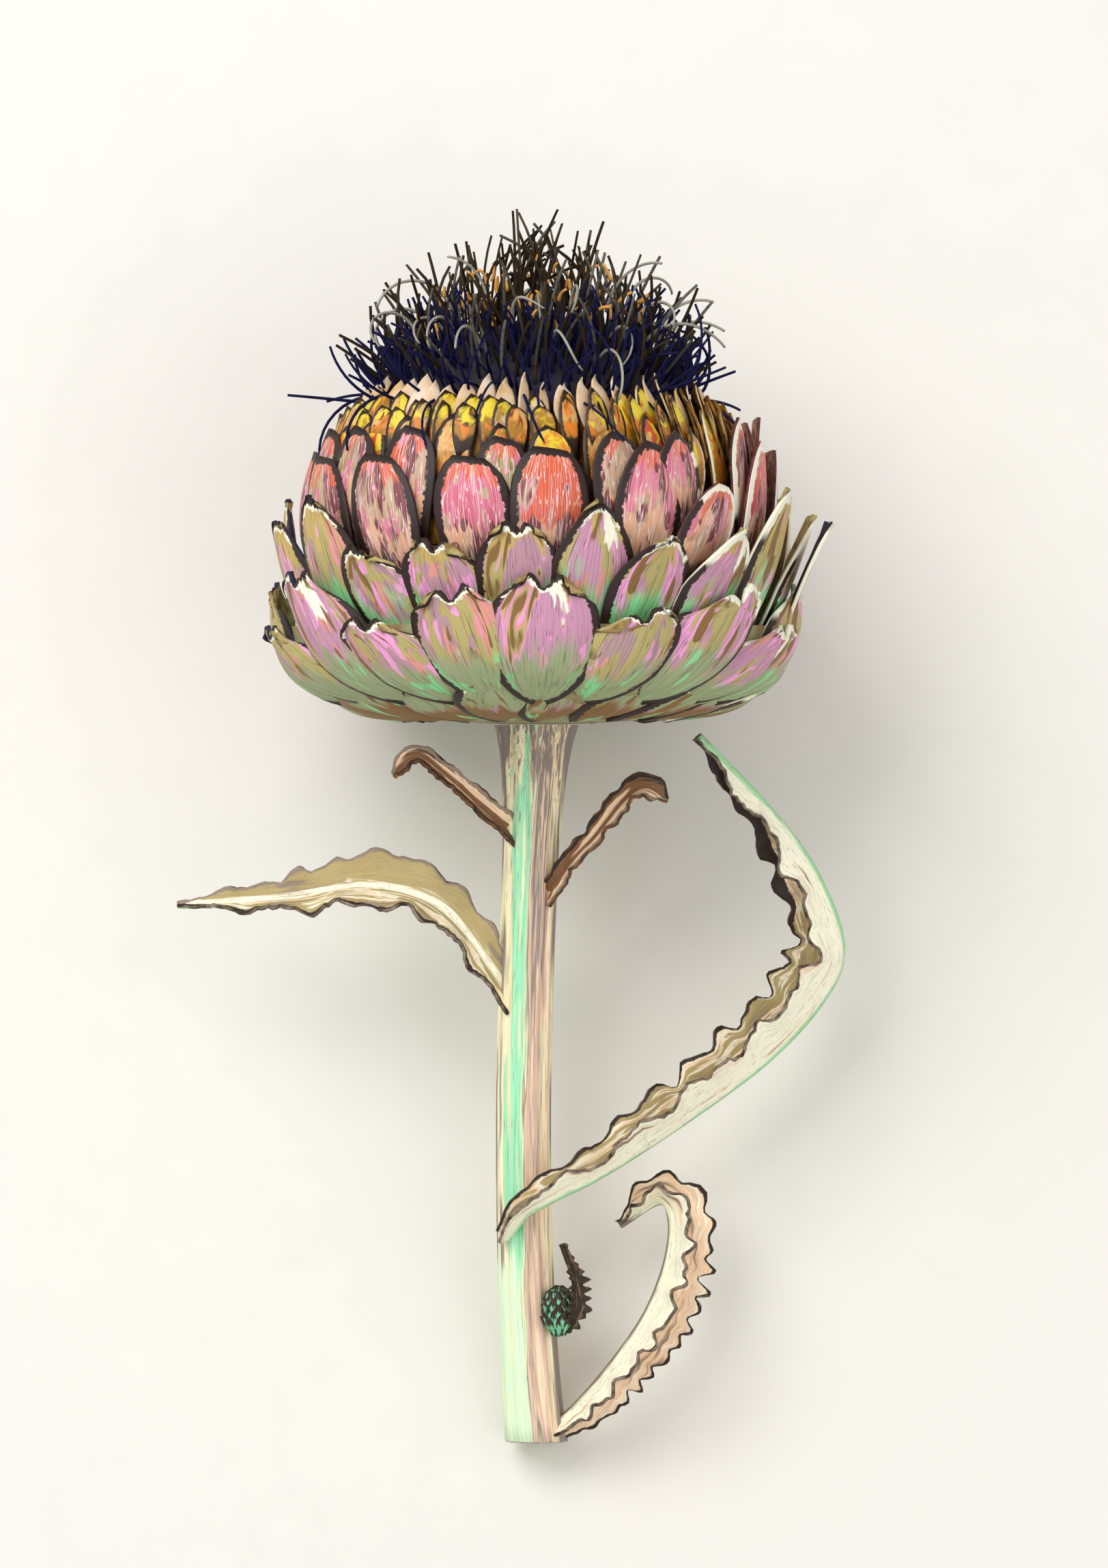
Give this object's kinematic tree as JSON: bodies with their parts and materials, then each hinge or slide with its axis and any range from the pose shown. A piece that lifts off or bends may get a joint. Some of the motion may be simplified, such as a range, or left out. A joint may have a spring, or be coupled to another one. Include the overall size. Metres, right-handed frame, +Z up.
{
  "type": "globe artichoke",
  "caption": "Globe artichoke in flower lying on its back: squat head of overlapping bracts, dark floret tuft, ribbed stem, curling leaves and a side bud.",
  "frame": {"origin": "middle of the footprint, on the surface that the cut flower lies on", "axes": "+Y from the stem's cut end towards the head, +Z up, +X to the right as seen from above"},
  "size_m": [0.1638, 0.2876, 0.1306],
  "materials": {
    "stem_skin": "matte",
    "outer_bract": "satin",
    "rosy_bract": "satin",
    "golden_bract": "satin",
    "floret": "matte",
    "bud_scale": "matte",
    "leaf": "matte",
    "dry_leaf": "matte"
  },
  "bodies": {
    "root": {"stem": "stem_skin", "outer_bracts": "outer_bract", "middle_bracts": "rosy_bract", "inner_bracts": "golden_bract", "florets": "floret", "side_bud": "bud_scale", "leaf_left": "leaf", "leaf_long": "leaf", "leaf_low": "leaf", "small_leaf_left": "dry_leaf", "small_leaf_right": "dry_leaf"}
  },
  "joints": []
}
